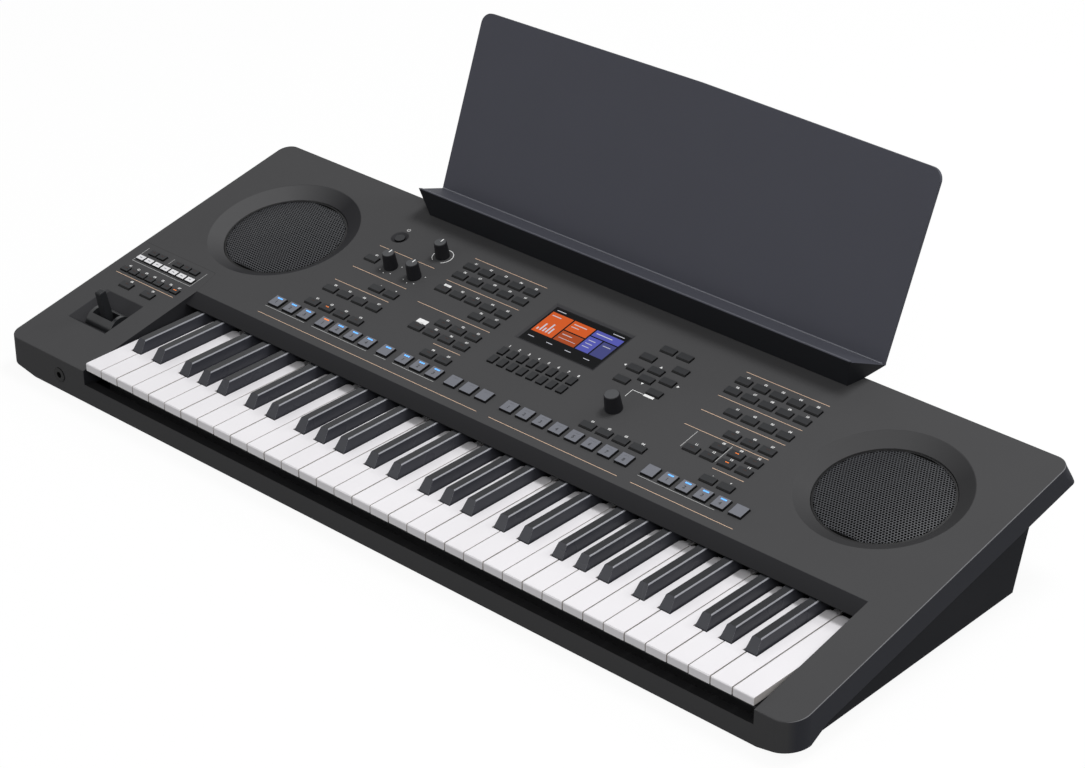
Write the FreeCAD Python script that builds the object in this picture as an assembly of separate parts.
"""Arranger keyboard: sloped panel, sixty-one keys, two speakers, joystick and a lift-off music rest.

Lengths are in millimetres. While building, x runs right from the left edge of the lowest key, y runs back
from the fronts of the white keys and z runs up from their tops. Each piece is moved to the part's own frame
on export.
"""

import math
import os

import FreeCAD
import Part

V = FreeCAD.Vector

# Keys
key_pitch = 23.5
octaves = 5
key_gap = 1.2
white_depth = 8.5
white_edge = 1.0
white_heel = 3.0
sharp_width = 12.6
sharp_top_width = 9.4
sharp_front = 49.0
sharp_slope = 8.5
sharp_rise = 11.5
sharp_root = 6.0
sharp_gap = 1.3
sharp_edge = 0.9
narrow_shift = 3.0
wide_shift = 3.5
heel_gap = 4.0
sharp_lap = 0.34
hinge_back = 45.34
hinge_bar = 6.0
comb_leaf = 2.4
comb_gap = 0.4
comb_arm = 8.0
comb_end = 2.0
comb_lap = 20.0

# Case
well_gap = 1.85
left_block = 117.25
right_block = 41.95
panel_tilt = 11.36
panel_front = 2.3
panel_drop = 9.2
well_depth = 155.0
deck_depth = 245.5
band = 25.5
wall = 3.0
front_height = 35.8
rail_height = 20.4
rail_depth = 11.0
left_corner = 13.0
right_corner = 22.0
rear_corner = 15.0
rear_corner_low = 7.0
rear_flare = 6.0
top_round = 1.2
sweep_length = 38.0
sweep_rise = 7.0
apron_reach = 46.0
fall_reach = 14.9
fall_clear = 1.43
fall_edge = 0.7
seam = 0.2
overrun = 5.0

# Lower case
tub_inset = 2.0
side_taper = 0.1
bottom_inset = 14.0
overhang_share = 0.167
rear_taper = 0.2
tub_corner = 22.0
chin_length = 22.0
chin_rise = 8.0
foot_height = 4.0
foot_radius = 9.0
foot_side = 52.0
foot_front = 38.0
foot_rear = 38.0
screw_head = 3.6
screw_head_height = 1.8
screw_shank = 1.7
screw_length = 14.0
post_radius = 4.5
post_side = 21.0
post_front = 60.0
post_step = 125.0
post_rear = 13.0
post_spread = 285.0

# Speakers
dish_share = 0.3336
dish_rise_share = 0.5173
dish_slope = 15.9
dish_depth = 9.0
left_dish_x = -2.9
right_dish_x = 770.4
sleeve = 6.0
seat_width = 5.0
seat_height = 2.0
grille_gap = 0.3
grille_sheet = 1.2
grille_rim = 4.0
grille_dome = 6.0
frame_lap = 8.0
frame_height = 2.5
cone_rim = 8.0
cone_depth = 17.0
basket_depth = 23.0
basket_neck = 37.0
magnet_radius = 42.0
magnet_height = 18.0

# Buttons and pads, in panel measure: u along x, s up the slope from the fallboard edge
button_pitch = 20.5
cap_width = 15.8
cap_depth = 7.7
cap_height = 1.8
cap_side = 0.3
cap_front = 1.2
cap_clear = 0.3
flange_height = 1.2
flange_out = 1.1
flange_side = 0.6
button_travel = 1.0
left_first = 117.4
style_first = 217.9
voice_first = 570.0
bank_first = 486.7
top_s = 180.0
lower_s = 163.2
song_s = 137.5
repeat_s = 120.8
effect_s = 111.6
transpose_s = 102.3
menu_s = 94.3
part_s = 92.0
tempo_s = 77.3
low_s = 51.3
pad_s = 31.5
pad_width = 14.2
pad_depth = 14.0
pad_height = 2.4
intro_start = 86.6
main_start = 153.6
break_start = 240.6
ending_start = 265.8
sync_start = 332.0
registration_start = 405.3
multi_start = 580.3
soft_start = 340.2
soft_pitch = 12.72
soft_width = 7.3
soft_depth = 10.6
soft_upper = 93.6
soft_lower = 79.0
menu_start = 468.4
menu_pitch = 20.3
menu_middle = 141.3
menu_small = 7.3
menu_large = 19.6
menu_top = 38.2
scale_start = -97.2
scale_pitch = 12.6
scale_width = 10.6
scale_depth = 6.6
scale_s = 9.2
scale_sharp_s = 21.4
scale_memory_s = -12.6
assign_start = -74.4
assign_pitch = 32.8
assign_s = -31.8

# Knobs, dial and standby button
knob_top = 6.5
knob_base = 7.6
knob_height = 18.0
knob_lift = 0.6
shaft_radius = 3.0
shaft_clear = 0.4
pot_size = 13.0
pot_height = 7.0
volume_u = 178.3
volume_back = 66.5
control_u = 144.6
control_pitch = 33.2
control_s = 137.4
dial_top = 7.6
dial_base = 8.9
dial_gap = 55.1
dial_s = 83.5
standby_u = 115.3
standby_s = 180.5
standby_dish = 10.0
standby_floor = 6.2
standby_depth = 2.4
standby_radius = 5.4
standby_boss = 6.0

# Display
bezel_u = 332.2
bezel_s = 116.8
bezel_width = 103.6
bezel_depth = 64.6
bezel_slope = 3.4
bezel_sink = 1.6
glass_sheet = 1.2
module_margin = 4.0
module_height = 6.0

# Joystick
stick_well_u = -88.5
stick_well_s = -101.0
stick_well_width = 57.8
stick_well_depth = 53.7
stick_sink = 9.0
stick_floor_left = 11.0
stick_floor_right = 2.5
stick_floor_front = 9.0
stick_floor_rear = 14.5
barrel_radius = 15.4
barrel_sink = 14.6
barrel_length = 38.0
barrel_clear = 0.6
axle_radius = 1.8
axle_length = 5.0
pivot_radius = 1.6
pivot_clear = 0.3
lever_width = 9.4
lever_neck = 8.0
lever_height = 28.2
lever_root = 4.0
slot_length = 30.0
slot_clear = 1.3
bracket_sheet = 3.0
bracket_base = 4.0

# Music rest
rest_base = 285.2
rest_top = 289.1
rest_height = 189.0
rest_lean = 21.7
rest_sheet = 4.0
rest_corner = 12.0
rest_crown = 4.0
rest_behind = 15.7
rest_above = 10.4
ledge_depth = 46.5
ledge_front = 277.0
ledge_lip = 3.0
lip_rise = 0.6
foot_depth = 17.0
foot_back = 2.4
foot_end = 270.0
rest_clear = 0.3
tongue_spread = 180.0
tongue_width = 40.0
tongue_sheet = 6.0
tongue_length = 14.0

# Jacks and boards
jack_bore = 3.25
jack_collar = 5.8
jack_flange = 0.9
jack_depth = 26.0
jack_body = 13.0
phones_x = -40.4
phones_z = -27.2
line_jack_pitch = 28.0
line_jack_x = 560.0
inlet_x = 200.0
inlet_bore = 2.8
port_x = 240.0
port_width = 13.0
port_height = 12.0
port_gap = 8.6
port_gap_height = 7.8
port_depth = 9.0
jack_rise = 34.0
board_sheet = 1.6
board_gap = 1.5
boss_size = 4.0
boss_left = 198.0
boss_middle = 320.0
boss_right = 552.0
boss_low = 64.0
boss_high = 150.0
chip_size = 14.0
chip_height = 2.0
chassis_sheet = 2.0
chassis_drop = 20.0
chassis_front = 14.0
chassis_rib = 2.5
rib_front = 27.0
contact_y = 86.0
contact_width = 40.0
dome_size = 9.0
dome_height = 3.6
dome_base = 0.8
main_board_x = 250.0
main_board_width = 230.0
amp_board_x = 590.0
amp_board_width = 110.0
board_room = 12.0
sink_width = 70.0
sink_depth = 16.0
sink_height = 22.0
stand_height = 6.0
stand_radius = 3.0
stand_edge = 8.0

# Values worked out from the sizes above
white_count = 7 * octaves + 1
octave_width = 7 * key_pitch
keys_width = white_count * key_pitch
well_left = -well_gap
well_right = keys_width + well_gap
case_left = well_left - left_block
case_right = well_right + right_block
case_mid = (case_left + case_right) / 2
case_width = case_right - case_left
tilt = math.radians(panel_tilt)
front_y = -panel_front
front_z = -panel_drop
fall_y = front_y + well_depth * math.cos(tilt)
fall_z = front_z + well_depth * math.sin(tilt)
white_length = fall_y - heel_gap
sharp_rear = fall_y + sharp_lap
hinge_y = fall_y + hinge_back
lip_y = fall_y - fall_reach
lip_z = sharp_rise + fall_clear
deck_y = fall_y + deck_depth * math.cos(tilt)
deck_z = fall_z + deck_depth * math.sin(tilt)
bottom_z = front_z - front_height
rail_z = bottom_z + rail_height
floor_z = bottom_z + wall
ground_z = bottom_z - foot_height
beyond = case_width
dial_u = bezel_u + bezel_width + dial_gap
volume_s = deck_depth - volume_back
sharp_shifts = {0: -narrow_shift, 1: narrow_shift, 3: -wide_shift, 4: 0, 5: wide_shift}
hinge_z = -(sharp_root + comb_leaf) / 2
panel_normal = V(0, -math.sin(tilt), math.cos(tilt))
rear_wall_s = deck_depth * (1 - overhang_share)
dish_radius = deck_depth * dish_share
dish_rise = deck_depth * dish_rise_share
dish_floor = dish_radius - dish_slope
frame_radius = dish_floor + frame_lap
cone_radius = dish_floor - cone_rim
seat_z = -dish_depth - sleeve
flange_top = -wall - cap_clear
board_top = flange_top - flange_height - button_travel - board_gap
lean = math.radians(rest_lean)
rest_y = deck_y + rest_behind
rest_z = deck_z + rest_above
rest_rear = rest_y + (rest_height + rest_crown) * math.sin(lean) + rest_sheet * math.cos(lean)
shift = V(-case_mid, -(front_y - jack_flange + rest_rear) / 2, -ground_z)


def block(x0, x1, y0, y1, z0, z1):
    """A box between two corners."""
    return Part.makeBox(x1 - x0, y1 - y0, z1 - z0, V(x0, y0, z0))


def section(points, x0, x1):
    """A profile drawn in y and z, run along x."""
    wire = Part.makePolygon([V(x0, y, z) for y, z in points + points[:1]])
    return Part.Face(wire).extrude(V(x1 - x0, 0, 0))


def plan(points, z0, z1):
    """An outline drawn in x and y, run upwards."""
    wire = Part.makePolygon([V(x, y, z0) for x, y in points + points[:1]])
    return Part.Face(wire).extrude(V(0, 0, z1 - z0))


def pillar(radius, x, y, z0, z1):
    """An upright cylinder."""
    return Part.makeCylinder(radius, z1 - z0, V(x, y, z0))


def trim(shape, point, normal):
    """Take away all of a shape that lies past a plane."""
    half = Part.makeBox(2 * beyond, 2 * beyond, 2 * beyond, V(-beyond, -beyond, 0))
    half.Placement = FreeCAD.Placement(point, FreeCAD.Rotation(V(0, 0, 1), normal))
    return shape.cut(half)


def join(shapes):
    """Fuse shapes into one and clean the seams."""
    return shapes[0].multiFuse(shapes[1:]).removeSplitter()


def to_panel(shape):
    """Carry a shape drawn in panel measure (u, s, height) onto the sloped panel."""
    placed = shape.copy()
    placed.rotate(V(0, 0, 0), V(1, 0, 0), panel_tilt)
    placed.translate(V(0, fall_y, fall_z))
    return placed


def panel_direction(u, s, h):
    """A direction in panel measure, in the building frame."""
    return V(u, s * math.cos(tilt) - h * math.sin(tilt), s * math.sin(tilt) + h * math.cos(tilt))


def panel_point(u, s, h):
    """A point in panel measure, in the building frame."""
    return panel_direction(u, s, h) + V(0, fall_y, fall_z)


def taper(u, s, h, width, depth, top, front, side):
    """A cap whose sides lean in: front leans by front, the others by side."""
    wedge = Part.makeWedge(
        -width / 2, h, -depth / 2, -depth / 2 + side, -width / 2 + side,
        width / 2, top, depth / 2, depth / 2 - front, width / 2 - side)
    wedge.rotate(V(0, 0, 0), V(1, 0, 0), 90)
    wedge.translate(V(u, s, 0))
    return wedge


def edge_near(shape, point):
    """The edge whose middle lies nearest to a point."""
    return min(shape.Edges, key=lambda edge: edge.CenterOfMass.distanceToPoint(point))


def rounded(x0, x1, y0, y1, z0, z1, left, right, at_front):
    """A box with its two front or two rear upright edges rounded, each by its own radius."""
    box = block(x0, x1, y0, y1, z0, z1)
    edge_y = y0 if at_front else y1
    for x, radius in ((x0, left), (x1, right)):
        box = box.makeFillet(radius, [edge_near(box, V(x, edge_y, (z0 + z1) / 2))])
    return box


# Places of the buttons, each a list of (u, s) in panel measure
def run(start, count, pitch, s):
    """A row of places at an even pitch."""
    return [(start + i * pitch, s) for i in range(count)]


def scale_places(steps, s):
    """Places on the scale buttons' own pitch."""
    return [(scale_start + step * scale_pitch, s) for step in steps]


def menu_places():
    """The buttons round the display's menu: a cross of eight and two above it."""
    cross = [(0, menu_large), (0, 0), (0, -menu_large), (2, menu_large), (2, 0), (2, -menu_large)]
    cross += [(1, menu_small), (1, -menu_small), (0.5, menu_top), (1.5, menu_top)]
    return [(menu_start + column * menu_pitch, menu_middle + rise) for column, rise in cross]


pad_size = (pad_width, pad_depth, pad_height, cap_side)
small_size = (cap_width, cap_depth, cap_height, cap_front)
soft_size = (soft_width, soft_depth, cap_height, cap_side)
scale_size = (scale_width, scale_depth, cap_height, cap_side)

button_groups = {
    "style_pads": (pad_size, run(intro_start, 3, button_pitch, pad_s)
                   + run(main_start, 4, button_pitch, pad_s) + run(break_start, 1, button_pitch, pad_s)
                   + run(ending_start, 3, button_pitch, pad_s)
                   + run(sync_start, 3, button_pitch, pad_s)),
    "registration_pads": (pad_size, run(registration_start, 8, button_pitch, pad_s)),
    "multi_pads": (pad_size, run(multi_start, 6, button_pitch, pad_s)),
    "chord_buttons": (small_size, run(left_first, 4, button_pitch, low_s)),
    "tempo_buttons": (small_size, run(left_first, 4, button_pitch, tempo_s)
                      + run(left_first + 2 * button_pitch, 2, button_pitch, transpose_s)
                      + run(left_first, 1, button_pitch, song_s)),
    "style_buttons": (small_size, run(style_first, 5, button_pitch, top_s)
                      + run(style_first, 5, button_pitch, lower_s)),
    "song_buttons": (small_size, run(style_first, 5, button_pitch, song_s)
                     + run(style_first + 3 * button_pitch, 2, button_pitch, repeat_s)),
    "function_buttons": (small_size, run(style_first + 2 * button_pitch, 3, button_pitch, menu_s)
                         + run(style_first + button_pitch, 4, button_pitch, tempo_s)
                         + run(style_first + 3 * button_pitch, 2, button_pitch, low_s)),
    "display_buttons": (soft_size, run(soft_start, 8, soft_pitch, soft_upper)
                        + run(soft_start, 8, soft_pitch, soft_lower)),
    "navigation_buttons": (small_size, menu_places()),
    "bank_buttons": (small_size, run(bank_first, 4, button_pitch, low_s)),
    "voice_buttons": (small_size, run(voice_first, 5, button_pitch, top_s)
                      + run(voice_first, 5, button_pitch, lower_s)),
    "part_buttons": (small_size, run(voice_first + button_pitch, 4, button_pitch, song_s)
                     + run(voice_first + 2 * button_pitch, 3, button_pitch, effect_s)
                     + run(voice_first + 2 * button_pitch, 3, button_pitch, part_s)
                     + run(voice_first + button_pitch, 4, button_pitch, tempo_s)
                     + run(voice_first + 3 * button_pitch, 2, button_pitch, low_s)),
    "scale_white_buttons": (scale_size, scale_places(range(7), scale_s)),
    "scale_black_buttons": (scale_size, scale_places((0.5, 1.5, 3.5, 4.5, 5.5), scale_sharp_s)),
    "scale_memory_buttons": (scale_size, scale_places(range(7), scale_memory_s)),
}
assign_places = run(assign_start, 2, assign_pitch, assign_s)

knob_places = {
    "volume_knob": (volume_u, volume_s, knob_base, knob_top),
    "control_knob_1": (control_u, control_s, knob_base, knob_top),
    "control_knob_2": (control_u + control_pitch, control_s, knob_base, knob_top),
    "data_dial": (dial_u, dial_s, dial_base, dial_top),
}
dish_places = {"left": (left_dish_x, dish_rise), "right": (right_dish_x, dish_rise)}
post_rows = [post_front + i * post_step for i in range(3)]
post_places = [(x, y) for x in (case_left + post_side, case_right - post_side) for y in post_rows]


def rear_wall_y(z):
    """Depth of the lower case's sloped rear wall at a height."""
    top = panel_point(0, rear_wall_s, -band)
    return top.y - (top.z - z) * rear_taper


rear_post_y = rear_wall_y(bottom_z) - wall - post_rear
post_places += [(case_mid + side * post_spread, rear_post_y) for side in (-1, 1)]
rear_normal = V(0, 1, -rear_taper).normalize()
line_jack_places = [line_jack_x + i * line_jack_pitch for i in range(3)]
jack_z = bottom_z + jack_rise


def on_rear_wall(shape, x):
    """Carry a piece drawn along z onto the rear wall, its z pointing out of the wall."""
    placed = shape.copy()
    placed.rotate(V(0, 0, 0), V(1, 0, 0), -90 - math.degrees(math.atan(rear_taper)))
    placed.translate(V(x, rear_wall_y(jack_z), jack_z))
    return placed


def front_form(inset):
    """The upright form of the case's front with its two rounded corners, drawn in by inset."""
    return rounded(case_left + inset, case_right - inset, front_y + inset, beyond, -beyond, beyond,
                   left_corner - inset, right_corner - inset, True)


def case_body(inset, depth):
    """The upper case's outer form, drawn in by inset; the band is depth deep and its rear face leans out."""
    lean_out = V(0, band, rear_flare).normalize()
    deck = block(case_left + inset, case_right - inset, -2 * well_depth, 2 * deck_depth, -depth, -inset)
    deck = trim(deck, V(0, deck_depth, 0) - lean_out * inset, lean_out)
    middle = deck_depth + rear_flare * depth / (2 * band) - inset
    for x in (case_left + inset, case_right - inset):
        corner = edge_near(deck, V(x, middle, -(depth + inset) / 2))
        radii = [rear_corner - inset, rear_corner_low - inset]
        if corner.Vertexes[0].Z < corner.Vertexes[-1].Z:
            radii.reverse()
        deck = deck.makeFillet(radii[0], radii[1], [corner])
    return to_panel(deck).common(front_form(inset))


def soft_edges(body):
    """Round the outer edge of the panel."""
    flat = [edge for edge in body.Edges
            if all(abs((v.Point - panel_point(0, 0, 0)).dot(panel_normal)) < seam for v in edge.Vertexes)]
    return body.makeFillet(top_round, flat)


def band_z(y):
    """Height of the band's lower edge at a depth."""
    return fall_z + (y - fall_y) * math.tan(tilt) - band / math.cos(tilt)


def key_well():
    """The opening that the keys stand in, closed behind by the sloped fallboard."""
    ahead = front_y - overrun
    above = fall_z + overrun
    return section([(ahead, rail_z), (lip_y, rail_z), (lip_y, lip_z), (fall_y, fall_z), (fall_y, above),
                    (ahead, above)], well_left, well_right)


def well_walls():
    """Fallboard, the well's two side walls and the shelf behind the front rail."""
    fallboard = section([(fall_y, fall_z), (lip_y, lip_z), (lip_y, lip_z - fall_edge),
                         (lip_y + 2 * wall, lip_z - fall_edge), (fall_y + wall, fall_z - wall)],
                        well_left - wall, well_right + wall)
    rear = fall_y + wall
    left = block(well_left - wall, well_left, front_y, rear, rail_z - wall, fall_z)
    right = block(well_right, well_right + wall, front_y, rear, rail_z - wall, fall_z)
    shelf = block(well_left, well_right, front_y, front_y + rail_depth, rail_z - wall, rail_z)
    sides = [trim(side, V(0, fall_y, fall_z), panel_normal) for side in (left, right)]
    return [fallboard, shelf] + sides


def apron(clear):
    """The skirt under the band, which wraps the front corners and sweeps up towards the sides."""
    skirt = front_form(0).cut(front_form(wall + clear))
    rear = front_y + apron_reach + clear
    skirt = skirt.common(block(case_left, case_right, front_y, rear, bottom_z, front_z - wall))
    for side, edge in ((-1, case_left), (1, case_right)):
        start = V(edge - side * sweep_length, 0, bottom_z)
        skirt = trim(skirt, start, V(side * sweep_rise, 0, -sweep_length))
    fore = front_y + right_corner / 2
    return trim(skirt, V(0, rear, band_z(rear)), V(0, band_z(rear) - bottom_z, fore - rear))


def dish_room(u, s):
    """What a speaker's dish leaves open: the sloped bowl and the straight bore below it."""
    bowl = Part.makeCone(dish_floor, dish_radius, dish_depth, V(u, s, -dish_depth))
    return bowl.fuse(pillar(dish_floor, u, s, seat_z, -dish_depth))


def dish_shell(u, s):
    """Bowl, sleeve and the inward seat that the grille stands on."""
    low = seat_z - seat_height
    outer = Part.makeCone(dish_floor + wall, dish_radius + wall, dish_depth, V(u, s, -dish_depth))
    outer = outer.fuse(pillar(dish_floor + wall, u, s, low, -dish_depth))
    mouth = pillar(dish_floor - seat_width, u, s, low, seat_z)
    return outer.cut(dish_room(u, s)).cut(mouth)


def stick_well(grow, open_above):
    """The joystick's well: wide at the panel, narrowing to the barrel's opening."""
    width = stick_well_width + 2 * grow
    depth = stick_well_depth + 2 * grow
    well = Part.makeWedge(
        stick_well_u - grow + stick_floor_left, -stick_sink - grow,
        -(stick_well_s - grow + depth - stick_floor_rear), -(stick_well_s - grow + depth),
        stick_well_u - grow, stick_well_u - grow + width - stick_floor_right, 0,
        -(stick_well_s - grow + stick_floor_front), -(stick_well_s - grow), stick_well_u - grow + width)
    well.rotate(V(0, 0, 0), V(1, 0, 0), 90)
    if open_above:
        mouth = block(stick_well_u, stick_well_u + stick_well_width, stick_well_s,
                      stick_well_s + stick_well_depth, 0, overrun)
        well = well.fuse(mouth)
    return well


barrel_u = (stick_well_u + stick_floor_left + stick_well_u + stick_well_width - stick_floor_right) / 2
barrel_s = stick_well_s + (stick_floor_front + stick_well_depth - stick_floor_rear) / 2
barrel_h = -barrel_sink


def barrel_opening():
    """The hole in the well's floor that the barrel turns in."""
    half_length = barrel_length / 2 + barrel_clear
    half_width = barrel_radius + barrel_clear
    return block(barrel_u - half_length, barrel_u + half_length, barrel_s - half_width, barrel_s + half_width,
                 -stick_sink - 2 * wall, -stick_sink)


def tongue(clear):
    """One of the music rest's two tongues, or its slot when given a clearance."""
    middle = deck_depth - foot_back - foot_depth / 2
    pieces = []
    for side in (-1, 1):
        u = case_mid + side * tongue_spread
        half = tongue_width / 2 + clear
        thick = tongue_sheet / 2 + clear
        pieces.append(block(u - half, u + half, middle - thick, middle + thick, -tongue_length, wall))
    return pieces


def panel_holes():
    """Every hole in the panel sheet that a button, pad, knob or tongue passes through."""
    holes = []
    for (width, depth, height, front), places in button_groups.values():
        for u, s in places:
            holes.append(cap_hole(u, s, width, depth, front))
    for u, s in assign_places:
        holes.append(cap_hole(u, s, cap_width, cap_depth, cap_front))
    for u, s, base, top in knob_places.values():
        holes.append(pillar(shaft_radius + shaft_clear, u, s, -wall - overrun, overrun))
    holes += tongue(rest_clear)
    holes.append(Part.makeCone(standby_floor, standby_dish, standby_depth,
                               V(standby_u, standby_s, -standby_depth)))
    holes.append(pillar(standby_radius + cap_clear, standby_u, standby_s, -standby_boss - overrun, 0))
    holes.append(bezel_recess())
    return Part.makeCompound([to_panel(hole) for hole in holes])


def cap_hole(u, s, width, depth, front):
    """The hole round one cap, a clearance wider than its foot."""
    half_width = width / 2 + cap_side + cap_clear
    return block(u - half_width, u + half_width, s - depth / 2 - front - cap_clear,
                 s + depth / 2 + cap_side + cap_clear, -wall - overrun, overrun)


def bezel_recess():
    """The display's sloped bezel and the window opening below it."""
    middle_u = bezel_u + bezel_width / 2
    middle_s = bezel_s + bezel_depth / 2
    inner_width = bezel_width - 2 * bezel_slope
    inner_depth = bezel_depth - 2 * bezel_slope
    slope = Part.makeWedge(
        middle_u - inner_width / 2, -bezel_sink, -middle_s - inner_depth / 2, -middle_s - bezel_depth / 2,
        middle_u - bezel_width / 2, middle_u + inner_width / 2, 0, -middle_s + inner_depth / 2,
        -middle_s + bezel_depth / 2, middle_u + bezel_width / 2)
    slope.rotate(V(0, 0, 0), V(1, 0, 0), 90)
    opening = block(middle_u - inner_width / 2, middle_u + inner_width / 2, middle_s - inner_depth / 2,
                    middle_s + inner_depth / 2, -wall - overrun, -bezel_sink)
    return slope.fuse(opening)


def screw_posts():
    """Posts that the case screws bite into, from the panel down to the floor."""
    posts = []
    for x, y in post_places:
        post = pillar(post_radius, x, y, floor_z, deck_z)
        post = post.cut(pillar(screw_shank, x, y, floor_z, floor_z + screw_length))
        posts.append(trim(post, panel_point(0, 0, -wall / 2), panel_normal))
    return posts


def board_bosses():
    """Square bosses under the panel that the switch boards hang from."""
    between_s = (scale_s + scale_memory_s) / 2
    spots = run(scale_start, 2, 6 * scale_pitch, between_s)
    spots += [(boss_left, boss_low), (boss_middle, boss_low), (boss_right, boss_low), (boss_left, boss_high),
              (boss_right, boss_high)]
    half = boss_size / 2
    return [to_panel(block(u - half, u + half, s - half, s + half, board_top, -wall / 2)) for u, s in spots]


def make_upper_case():
    """Panel, end blocks, band, front rail, key well, dishes, wells and posts in one moulding."""
    shell = soft_edges(case_body(0, band)).cut(case_body(wall, band + overrun))
    dishes = [to_panel(dish_shell(u, s)) for u, s in dish_places.values()]
    rooms = [to_panel(dish_room(u, s)) for u, s in dish_places.values()]
    boss_radius = 2 * standby_dish - standby_floor
    standby = to_panel(pillar(boss_radius, standby_u, standby_s, -standby_boss, -wall / 2))
    well = to_panel(stick_well(wall, False))
    body = shell.multiFuse([apron(0), standby, well] + dishes + screw_posts() + board_bosses())
    body = body.cut(key_well()).multiFuse(well_walls())
    body = body.cut(Part.makeCompound(rooms))
    body = body.cut(to_panel(stick_well(0, True))).cut(to_panel(barrel_opening()))
    body = body.cut(panel_holes())
    bore = Part.makeCylinder(jack_collar + seam, wall + 2 * overrun, V(phones_x, front_y - overrun, phones_z),
                             V(0, 1, 0))
    return body.cut(bore).removeSplitter()


def tub(inset, lid):
    """The lower case's tapered form, drawn in by inset and closed at height lid over the band's edge."""
    body = block(case_left, case_right, front_y + wall + seam + inset, deck_y, bottom_z + inset, deck_z)
    body = trim(body, panel_point(0, 0, lid - band), panel_normal)
    room = tub_inset + inset
    body = body.common(front_form(room))
    chin = V(0, -chin_rise, -chin_length).normalize()
    body = trim(body, V(0, front_y + wall + chin_length, bottom_z) - chin * inset, chin)
    for side, edge in ((-1, case_left), (1, case_right)):
        out = V(side, 0, 0)
        at_band = panel_point(edge - side * room, 0, -band)
        body = trim(body, at_band, panel_direction(side, 0, -side_taper))
        at_floor = V(edge - side * bottom_inset, 0, bottom_z) - (out + V(0, 0, -1)).normalize() * inset
        body = trim(body, at_floor, out + V(0, 0, -1))
        at_rear = V(edge - side * (tub_inset + tub_corner), rear_wall_y(front_z), front_z)
        out_rear = (out + rear_normal).normalize()
        body = trim(body, at_rear - out_rear * inset, out_rear)
    at_wall = V(0, rear_wall_y(bottom_z), bottom_z) - rear_normal * inset
    return trim(body, at_wall, rear_normal)


def make_lower_case():
    """Tapered tub, the flange that closes the rear overhang, jack holes and screw pockets."""
    body = tub(0, 0).cut(tub(wall, overrun))
    rim = wall + seam
    rear = deck_depth + rear_flare - 2 * rim
    flange = rounded(case_left + rim, case_right - rim, rear_wall_s - 2 * wall, rear, -band, wall - band,
                     rear_corner_low, rear_corner_low, False)
    body = body.fuse(to_panel(flange).cut(tub(wall, overrun)))
    round_hole = pillar(jack_collar + seam, 0, 0, -jack_depth, overrun)
    cuts = [on_rear_wall(round_hole, x) for x in line_jack_places + [inlet_x]]
    half_width = port_width / 2 + seam
    half_height = port_height / 2 + seam
    square_hole = block(-half_width, half_width, -half_height, half_height, -jack_depth, overrun)
    cuts.append(on_rear_wall(square_hole, port_x))
    for x, y in post_places:
        cuts.append(pillar(screw_shank + seam, x, y, bottom_z - overrun, floor_z + overrun))
        cuts.append(pillar(screw_head + seam, x, y, bottom_z - overrun, bottom_z + screw_head_height))
    return body.cut(apron(seam)).cut(Part.makeCompound(cuts)).removeSplitter()


def make_rubber_feet():
    """Four feet at the corners and one in the middle of the front and rear."""
    rear = rear_wall_y(bottom_z) - foot_rear
    across = (case_left + foot_side, case_mid, case_right - foot_side)
    spots = [(x, y) for x in across for y in (foot_front, rear)]
    feet = []
    for x, y in spots:
        foot = pillar(foot_radius, x, y, ground_z, bottom_z)
        feet.append(foot.makeChamfer(foot_height / 4, [foot.Edges[2]]))
    return Part.makeCompound(feet)


def make_case_screws():
    """Pan-head screws, up through the floor into the posts."""
    screws = []
    for x, y in post_places:
        head = pillar(screw_head, x, y, bottom_z, bottom_z + screw_head_height)
        shank = pillar(screw_shank, x, y, bottom_z, floor_z + screw_length)
        screws.append(head.fuse(shank).removeSplitter())
    return Part.makeCompound(screws)


def make_grille(side):
    """Domed sheet with a turned-down rim, standing on the dish's seat."""
    u, s = dish_places[side]
    radius = dish_floor - grille_gap
    rim_top = seat_z + grille_rim
    ball = (radius ** 2 + grille_dome ** 2) / (2 * grille_dome)
    inner = radius - grille_sheet
    ball_inner = (inner ** 2 + grille_dome ** 2) / (2 * grille_dome)
    outer_dome = dome(u, s, radius, ball, rim_top)
    inner_dome = dome(u, s, inner, ball_inner, rim_top - grille_sheet)
    rim = pillar(radius, u, s, seat_z, rim_top)
    hollow = pillar(inner, u, s, seat_z, rim_top - grille_sheet)
    return to_panel(rim.fuse(outer_dome).cut(hollow).cut(inner_dome).removeSplitter())


def dome(u, s, radius, ball, base):
    """A cap cut from a ball, standing on a base circle."""
    centre = base + grille_dome - ball
    cap = Part.makeSphere(ball, V(u, s, centre))
    return cap.common(pillar(radius, u, s, base, base + 2 * grille_dome))


def make_speaker(side):
    """Driver turned in one piece: frame ring, cone hollow, basket and magnet."""
    u, s = dish_places[side]
    top = seat_z - seat_height
    ring = top - frame_height
    neck = ring - basket_depth
    points = [(0, top - cone_depth), (basket_neck / 3, top - cone_depth), (cone_radius, top),
              (frame_radius, top), (frame_radius, ring), (dish_floor, ring), (basket_neck, neck),
              (magnet_radius, neck),
              (magnet_radius, neck - magnet_height), (0, neck - magnet_height)]
    wire = Part.makePolygon([V(r, 0, h) for r, h in points + points[:1]])
    driver = Part.Face(wire).revolve(V(0, 0, 0), V(0, 0, 1), 360)
    driver.translate(V(u, s, 0))
    return to_panel(driver)


def make_display_window():
    """The glass in the bezel's opening."""
    inset = bezel_slope + seam
    top = -bezel_sink
    return to_panel(block(bezel_u + inset, bezel_u + bezel_width - inset, bezel_s + inset,
                          bezel_s + bezel_depth - inset, top - glass_sheet, top))


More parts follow.
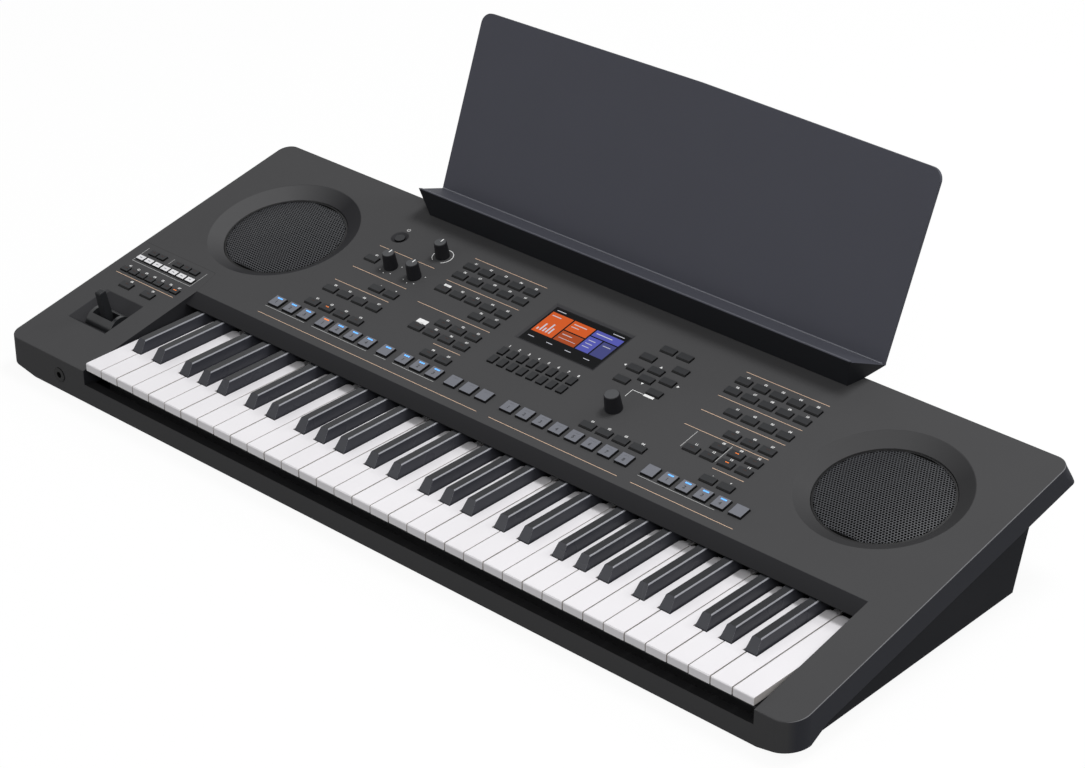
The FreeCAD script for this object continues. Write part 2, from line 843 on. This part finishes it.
def make_display_module():
    """The display behind the glass, held against the panel's underside."""
    inset = bezel_slope - module_margin
    return to_panel(block(bezel_u + inset, bezel_u + bezel_width - inset, bezel_s + inset,
                          bezel_s + bezel_depth - inset, -wall - module_height, -wall))


def cap(u, s, width, depth, height, front):
    """One button: flange under the panel, stem through the hole and a cap that leans in."""
    foot_width = width + 2 * cap_side
    low = s - depth / 2 - front
    high = s + depth / 2 + cap_side
    flange = block(u - foot_width / 2 - flange_side, u + foot_width / 2 + flange_side, low - flange_out,
                   high + flange_out, flange_top - flange_height, flange_top)
    stem = block(u - foot_width / 2, u + foot_width / 2, low, high, flange_top, 0)
    top = taper(u, (low + high) / 2, 0, foot_width, high - low, height, front, cap_side)
    return flange.fuse([stem, top]).removeSplitter()


def make_buttons(name):
    """All caps of one group, which share one moulded key sheet."""
    (width, depth, height, front), places = button_groups[name]
    caps = [cap(u, s, width, depth, height, front) for u, s in places]
    if name == "scale_memory_buttons":
        caps += [cap(u, s, cap_width, cap_depth, cap_height, cap_front) for u, s in assign_places]
    return to_panel(Part.makeCompound(caps))


def make_knob(name):
    """A slightly tapered knob with its shaft."""
    u, s, base, top = knob_places[name]
    body = Part.makeCone(base, top, knob_height - knob_lift, V(u, s, knob_lift))
    body = body.makeChamfer(knob_lift, [edge_near(body, V(u, s, knob_height))])
    shaft = pillar(shaft_radius, u, s, -wall - pot_height / 2, knob_lift)
    return to_panel(body.fuse(shaft).removeSplitter())


def make_knob_pots():
    """The potentiometers and the encoder under the panel, bored for the shafts."""
    pots = []
    half = pot_size / 2
    for u, s, base, top in knob_places.values():
        pot = block(u - half, u + half, s - half, s + half, -wall - pot_height, -wall)
        low = -wall - pot_height / 2 - shaft_clear
        pots.append(pot.cut(pillar(shaft_radius + shaft_clear, u, s, low, 0)))
    return to_panel(Part.makeCompound(pots))


def make_standby_button():
    """The round button in its dish, with a flange below the boss."""
    top = cap_height - standby_depth
    stem = pillar(standby_radius, standby_u, standby_s, -standby_boss - cap_clear, top)
    low = -standby_boss - cap_clear
    flange = pillar(standby_radius + flange_out, standby_u, standby_s, low - flange_height, low)
    return to_panel(stem.fuse(flange).removeSplitter())


def sharp_x(octave, step):
    """Middle of a black key."""
    return (7 * octave + step + 1) * key_pitch + sharp_shifts[step]


def white_key(index):
    """A white key's blade: full width in front, cut back beside the black keys, with a rounded heel."""
    x0 = index * key_pitch + key_gap / 2
    x1 = x0 + key_pitch - key_gap
    left, right = white_heel_sides(index)
    notch = sharp_front - sharp_gap
    points = [(x0, 0), (x1, 0)]
    if right < x1:
        points += [(x1, notch), (right, notch)]
    points += [(right, white_length - white_heel), (right - white_heel, white_length)]
    points += [(left + white_heel, white_length), (left, white_length - white_heel)]
    if left > x0:
        points += [(left, notch), (x0, notch)]
    return plan(points, -white_depth, 0)


def white_heel_sides(index):
    """Left and right sides of a white key between its black neighbours."""
    octave, step = divmod(index, 7)
    left = index * key_pitch + key_gap / 2
    right = left + key_pitch - key_gap
    room = sharp_width / 2 + sharp_gap
    if step - 1 in sharp_shifts:
        left = sharp_x(octave, step - 1) + room
    if step in sharp_shifts and index < white_count - 1:
        right = sharp_x(octave, step) - room
    return left, right


def comb(blades, middles, level, start):
    """Blades joined at the hinge by a flat arm each and one bar; level counts leaves up from the lowest."""
    low = -white_depth + comb_gap + level * (comb_leaf + comb_gap)
    high = low + comb_leaf
    arms = [block(x - comb_arm / 2, x + comb_arm / 2, start, hinge_y, low, high) for x in middles]
    ends = (min(middles) - comb_arm / 2 - comb_end, max(middles) + comb_arm / 2 + comb_end)
    bar = block(ends[0], ends[1], hinge_y - hinge_bar / 2, hinge_y + hinge_bar / 2, low, high)
    return join(blades + arms + [bar])


def make_white_comb(octave, steps, level):
    """The white keys of one octave that share a moulding."""
    indexes = [7 * octave + step for step in steps]
    blades = [white_key(index) for index in indexes]
    middles = [sum(white_heel_sides(index)) / 2 for index in indexes]
    keys = comb(blades, middles, level, white_length - comb_lap)
    return trim(keys, V(0, white_edge, 0), V(0, -1, 1)).removeSplitter()


def make_black_comb(octave):
    """The five black keys of one octave: leaning sides, sloped fronts and softened edges."""
    blades = []
    middles = [sharp_x(octave, step) for step in sharp_shifts]
    lean_in = (sharp_width - sharp_top_width) / 2
    for x in middles:
        blade = block(x - sharp_width / 2, x + sharp_width / 2, sharp_front, sharp_rear, -sharp_root,
                      sharp_rise)
        for side in (-1, 1):
            blade = trim(blade, V(x + side * sharp_width / 2, 0, 0), V(side * sharp_rise, 0, lean_in))
            edge = V(x + side * (sharp_top_width / 2 - sharp_edge), 0, sharp_rise)
            blade = trim(blade, edge, V(side, 0, 1))
        blades.append(blade)
    keys = comb(blades, middles, 2, sharp_rear - comb_lap)
    return trim(keys, V(0, sharp_front, 0), V(0, -sharp_rise, sharp_slope)).removeSplitter()


def make_key_chassis():
    """Deck under the keys, the rail that the combs hinge on and ribs down to the floor."""
    top = -chassis_drop
    low = top - chassis_sheet
    rail_front = hinge_y - hinge_bar / 2
    rail_rear = hinge_y + hinge_bar / 2
    left = well_left + wall
    right = well_right - wall
    deck = block(left, right, chassis_front, rail_rear, low, top)
    rail = block(left, right, rail_front, rail_rear, top, -white_depth)
    ribs = [block(left, right, y, y + chassis_rib, floor_z, low)
            for y in (rib_front, contact_y + contact_width / 2, rail_front)]
    return join([deck, rail] + ribs)


def make_key_contact_board():
    """The long board under the keys."""
    top = -chassis_drop
    return block(well_left + 2 * wall, well_right - 2 * wall, contact_y, contact_y + contact_width, top,
                 top + board_sheet)


def make_contact_rubber():
    """The rubber strip with one dome under each key."""
    low = board_sheet - chassis_drop
    middle = contact_y + contact_width / 2
    strip = block(well_left + 2 * wall, well_right - 2 * wall, middle - dome_size, middle + dome_size, low,
                  low + dome_base)
    tops = []
    half = dome_size / 2
    for index in range(white_count):
        x = index * key_pitch + key_pitch / 2
        tops.append(block(x - half, x + half, middle - half, middle + half, low + dome_base,
                          low + dome_height))
    return join([strip] + tops)


def make_panel_boards():
    """The switch boards under the panel's buttons and under the left block's buttons."""
    low = board_top - board_sheet
    left = left_first - button_pitch / 2
    right = voice_first + 4 * button_pitch + button_pitch / 2
    field = block(left, right, pad_s - button_pitch / 2, top_s + button_pitch / 2, low, board_top)
    last_pad = max(u for u, s in button_groups["multi_pads"][1])
    tail = block(intro_start - button_pitch / 2, last_pad + button_pitch, pad_s - button_pitch / 2,
                 pad_s + button_pitch / 2, low, board_top)
    field = field.fuse(tail).removeSplitter()
    cuts = [block(bezel_u - module_margin, bezel_u + bezel_width + module_margin, bezel_s - module_margin,
                  bezel_s + bezel_depth + module_margin, low - overrun, board_top + overrun)]
    half = pot_size / 2 + seam
    for u, s, base, top in knob_places.values():
        cuts.append(block(u - half, u + half, s - half, s + half, low - overrun, board_top + overrun))
    standby_room = 2 * standby_dish
    cuts.append(block(left - overrun, standby_u + standby_room / 2, standby_s - standby_room,
                      top_s + button_pitch, low - overrun, board_top + overrun))
    field = field.cut(Part.makeCompound(cuts))
    scale = block(scale_start - scale_pitch / 2, scale_start + 7 * scale_pitch, assign_s - scale_pitch / 2,
                  scale_sharp_s + scale_pitch / 2, low, board_top)
    return to_panel(Part.makeCompound([field, scale]))


def circuit_board(x, width, chips):
    """A board on four standoffs between the hinge rail and the jacks, with a row of chips."""
    rear = rear_wall_y(floor_z) - jack_depth - wall - overrun
    front = hinge_y + hinge_bar / 2 + board_room
    depth = rear - front
    low = floor_z + stand_height
    top = low + board_sheet
    pieces = [block(x, x + width, front, rear, low, top)]
    for px in (x + stand_edge, x + width - stand_edge):
        for py in (front + stand_edge, rear - stand_edge):
            pieces.append(pillar(stand_radius, px, py, floor_z, low))
    for i in range(chips):
        chip_x = x + width * (i + 1) / (chips + 1)
        pieces.append(block(chip_x - chip_size / 2, chip_x + chip_size / 2, front + depth / 3,
                            front + depth / 3 + chip_size, top, top + chip_height))
    return pieces, rear, top


def make_main_board():
    """The board with the sound processors."""
    pieces, rear, top = circuit_board(main_board_x, main_board_width, 5)
    return join(pieces)


def make_amp_board():
    """The amplifier board with its finned heat sink."""
    pieces, rear, top = circuit_board(amp_board_x, amp_board_width, 2)
    x = amp_board_x + (amp_board_width - sink_width) / 2
    sink_rear = rear - overrun
    sink = block(x, x + sink_width, sink_rear - sink_depth, sink_rear, top, top + sink_height)
    fin = sink_width / 9
    gaps = []
    for i in range(4):
        left = x + fin + 2 * fin * i
        gaps.append(block(left, left + fin, sink_rear - sink_depth, sink_rear - sink_depth / 4,
                          top + sink_height / 5, top + sink_height + overrun))
    return join(pieces + [sink.cut(Part.makeCompound(gaps))])


def jack(radius):
    """A jack drawn along z: flange outside, collar through the wall, body inside and a blind bore."""
    flange = Part.makeCylinder(jack_collar + 2 * jack_flange, jack_flange)
    collar = Part.makeCylinder(jack_collar, wall, V(0, 0, -wall))
    half = jack_body / 2
    body = block(-half, half, -half, half, -jack_depth, -wall)
    bore = Part.makeCylinder(radius, jack_depth + overrun, V(0, 0, wall - jack_depth))
    return join([flange, collar, body]).cut(bore)


def make_phones_jack():
    """The phones jack in the front face of the left block."""
    piece = jack(jack_bore)
    piece.rotate(V(0, 0, 0), V(1, 0, 0), 90)
    piece.translate(V(phones_x, front_y, phones_z))
    return piece


def make_rear_jacks():
    """Pedal and output jacks, the supply inlet and a square data port in the rear wall."""
    pieces = [on_rear_wall(jack(jack_bore), x) for x in line_jack_places]
    pieces.append(on_rear_wall(jack(inlet_bore), inlet_x))
    shell = block(-port_width / 2, port_width / 2, -port_height / 2, port_height / 2, -jack_depth / 2,
                  jack_flange)
    gap = block(-port_gap / 2, port_gap / 2, -port_gap_height / 2, port_gap_height / 2, -port_depth,
                jack_flange)
    pieces.append(on_rear_wall(shell.cut(gap), port_x))
    return Part.makeCompound(pieces)


def make_joystick_bracket():
    """A bracket under the well with two uprights that hold the barrel's axle."""
    inner = barrel_length / 2 + barrel_clear
    outer = inner + bracket_sheet
    half = barrel_radius
    low = barrel_h - barrel_radius - bracket_base
    base = block(barrel_u - outer, barrel_u + outer, barrel_s - half, barrel_s + half, low - bracket_sheet,
                 low)
    top = -stick_sink - wall
    uprights = [block(barrel_u + side * (inner + bracket_sheet / 2) - bracket_sheet / 2,
                      barrel_u + side * (inner + bracket_sheet / 2) + bracket_sheet / 2,
                      barrel_s - half, barrel_s + half, low, top) for side in (-1, 1)]
    body = join([base] + uprights)
    hole = Part.makeCylinder(axle_radius + pivot_clear, 2 * outer + overrun,
                             V(barrel_u - outer - overrun / 2, barrel_s, barrel_h), V(1, 0, 0))
    return to_panel(body.cut(hole))


def make_joystick_barrel():
    """The barrel that tips to and fro, slotted for the lever."""
    half = barrel_length / 2
    along = V(1, 0, 0)
    barrel = Part.makeCylinder(barrel_radius, barrel_length, V(barrel_u - half, barrel_s, barrel_h), along)
    reach = half + barrel_clear + axle_length / 2
    axle = Part.makeCylinder(axle_radius, 2 * reach, V(barrel_u - reach, barrel_s, barrel_h), along)
    room = lever_width / 2 + slot_clear
    slot = block(barrel_u - slot_length / 2, barrel_u + slot_length / 2, barrel_s - room, barrel_s + room,
                 barrel_h - 2 * lever_root, barrel_h + 2 * barrel_radius)
    start = V(barrel_u, barrel_s - barrel_radius, barrel_h)
    hole = Part.makeCylinder(pivot_radius + pivot_clear, 2 * barrel_radius, start, V(0, 1, 0))
    return to_panel(join([barrel, axle]).cut(slot).cut(hole))


def make_joystick_lever():
    """The lever: a tapered grip with a rounded tip, and the pin that it swings on."""
    low = barrel_h - lever_root
    high = barrel_h + barrel_radius + lever_height
    grip = taper(barrel_u, barrel_s, low, lever_width, lever_width, high, (lever_width - lever_neck) / 2,
                 (lever_width - lever_neck) / 2)
    rim = [e for e in grip.Edges if e.CenterOfMass.z > high - lever_root / 4]
    grip = grip.makeFillet(lever_neck / 4, rim)
    pin_half = barrel_radius / 2 + lever_width / 4
    start = V(barrel_u, barrel_s - pin_half, barrel_h)
    pin = Part.makeCylinder(pivot_radius, 2 * pin_half, start, V(0, 1, 0))
    return to_panel(grip.fuse(pin).removeSplitter())


def make_music_rest():
    """Plate leaning back from a ledge, on a tapered foot with two tongues."""
    along = (math.sin(lean), math.cos(lean))
    back = (math.cos(lean), -math.sin(lean))
    lip_at = (rest_y - ledge_depth * back[0], rest_z - ledge_depth * back[1])
    return join([rest_plate(along, back)] + rest_foot(lip_at, back, along) + [to_panel(t) for t in tongue(0)])


def rest_plate(along, back):
    """The plate: a little wider at the top, with a slightly arched top edge and rounded corners."""
    outline = [(-rest_top, rest_height), (-rest_base, 0), (rest_base, 0), (rest_top, rest_height),
               (0, rest_height + rest_crown)]
    points = [V(case_mid + x, rest_y + d * along[0], rest_z + d * along[1]) for x, d in outline]
    crown = Part.Arc(points[3], points[4], points[0]).toShape()
    face = Part.Face(Part.Wire(Part.makePolygon(points[:4]).Edges + [crown]))
    plate = face.extrude(V(0, rest_sheet * back[0], rest_sheet * back[1]))
    corners = [e for e in plate.Edges if abs(e.Length - rest_sheet) < rest_sheet / 10
               and e.CenterOfMass.z > rest_z + rest_height / 2]
    return plate.makeFillet(rest_corner, corners)


def rest_foot(lip_at, back, along):
    """The ledge's sheet, its lip and the hollow foot below it, with ends that splay towards the plate."""
    foot_low = panel_point(0, deck_depth - foot_back - foot_depth, rest_clear)
    foot_high = panel_point(0, deck_depth - foot_back, rest_clear)
    rear = (rest_y + rest_sheet * back[0], rest_z + rest_sheet * back[1])
    outer = section([lip_at, (foot_low.y, foot_low.z), (foot_high.y, foot_high.z), rear],
                    case_mid - rest_top, case_mid + rest_top)
    lip_top = (lip_at[0] + lip_rise * along[0], lip_at[1] + lip_rise * along[1])
    lip_back = (lip_top[0] + ledge_lip * back[0], lip_top[1] + ledge_lip * back[1])
    lip_foot = (lip_at[0] + ledge_lip * back[0], lip_at[1] + ledge_lip * back[1])
    lip = section([lip_at, lip_foot, lip_back, lip_top], case_mid - rest_top, case_mid + rest_top)
    hollow = section([(lip_at[0] + 2 * wall, lip_at[1] - 2 * wall), (foot_low.y + wall, foot_low.z - overrun),
                      (foot_high.y - wall, foot_high.z - overrun), (rear[0] - 2 * wall, rear[1] - wall)],
                     case_mid - foot_end + 2 * wall, case_mid + foot_end - 2 * wall)
    outer = outer.cut(hollow)
    pieces = []
    for piece in (outer, lip):
        for side in (-1, 1):
            front = V(case_mid + side * ledge_front, lip_at[0], lip_at[1])
            behind = V(case_mid + side * rest_base, rest_y, rest_z)
            below = V(case_mid + side * foot_end, foot_low.y, foot_low.z)
            normal = (behind - front).cross(below - front)
            if normal.x * side < 0:
                normal = normal * -1
            piece = trim(piece, front, normal)
        pieces.append(piece)
    return pieces


def export(name, shape):
    """Move a piece to the part's frame and write it."""
    placed = shape.copy()
    placed.translate(shift)
    placed.exportStep("parts/" + name + ".step")


def build():
    """Make every piece, name by name."""
    pieces = {
        "upper_case": make_upper_case(),
        "lower_case": make_lower_case(),
        "rubber_feet": make_rubber_feet(),
        "case_screws": make_case_screws(),
        "display_window": make_display_window(),
        "display_module": make_display_module(),
        "knob_pots": make_knob_pots(),
        "standby_button": make_standby_button(),
        "key_chassis": make_key_chassis(),
        "key_contact_board": make_key_contact_board(),
        "contact_rubber": make_contact_rubber(),
        "panel_boards": make_panel_boards(),
        "main_board": make_main_board(),
        "amp_board": make_amp_board(),
        "phones_jack": make_phones_jack(),
        "rear_jacks": make_rear_jacks(),
        "joystick_bracket": make_joystick_bracket(),
        "joystick_barrel": make_joystick_barrel(),
        "joystick_lever": make_joystick_lever(),
        "music_rest": make_music_rest(),
        "keys_top": make_white_comb(octaves, (0,), 0),
    }
    for side in dish_places:
        pieces[side + "_grille"] = make_grille(side)
        pieces[side + "_speaker"] = make_speaker(side)
    for name in knob_places:
        pieces[name] = make_knob(name)
    for name in button_groups:
        pieces[name] = make_buttons(name)
    for octave in range(octaves):
        pieces["keys_ceg_" + str(octave + 1)] = make_white_comb(octave, (0, 2, 4, 6), 1)
        pieces["keys_dfa_" + str(octave + 1)] = make_white_comb(octave, (1, 3, 5), 0)
        pieces["keys_black_" + str(octave + 1)] = make_black_comb(octave)
    return pieces


def main():
    """Write one file for each piece."""
    os.makedirs("parts", exist_ok=True)
    for name, shape in build().items():
        export(name, shape)


if __name__ == "__main__":
    main()
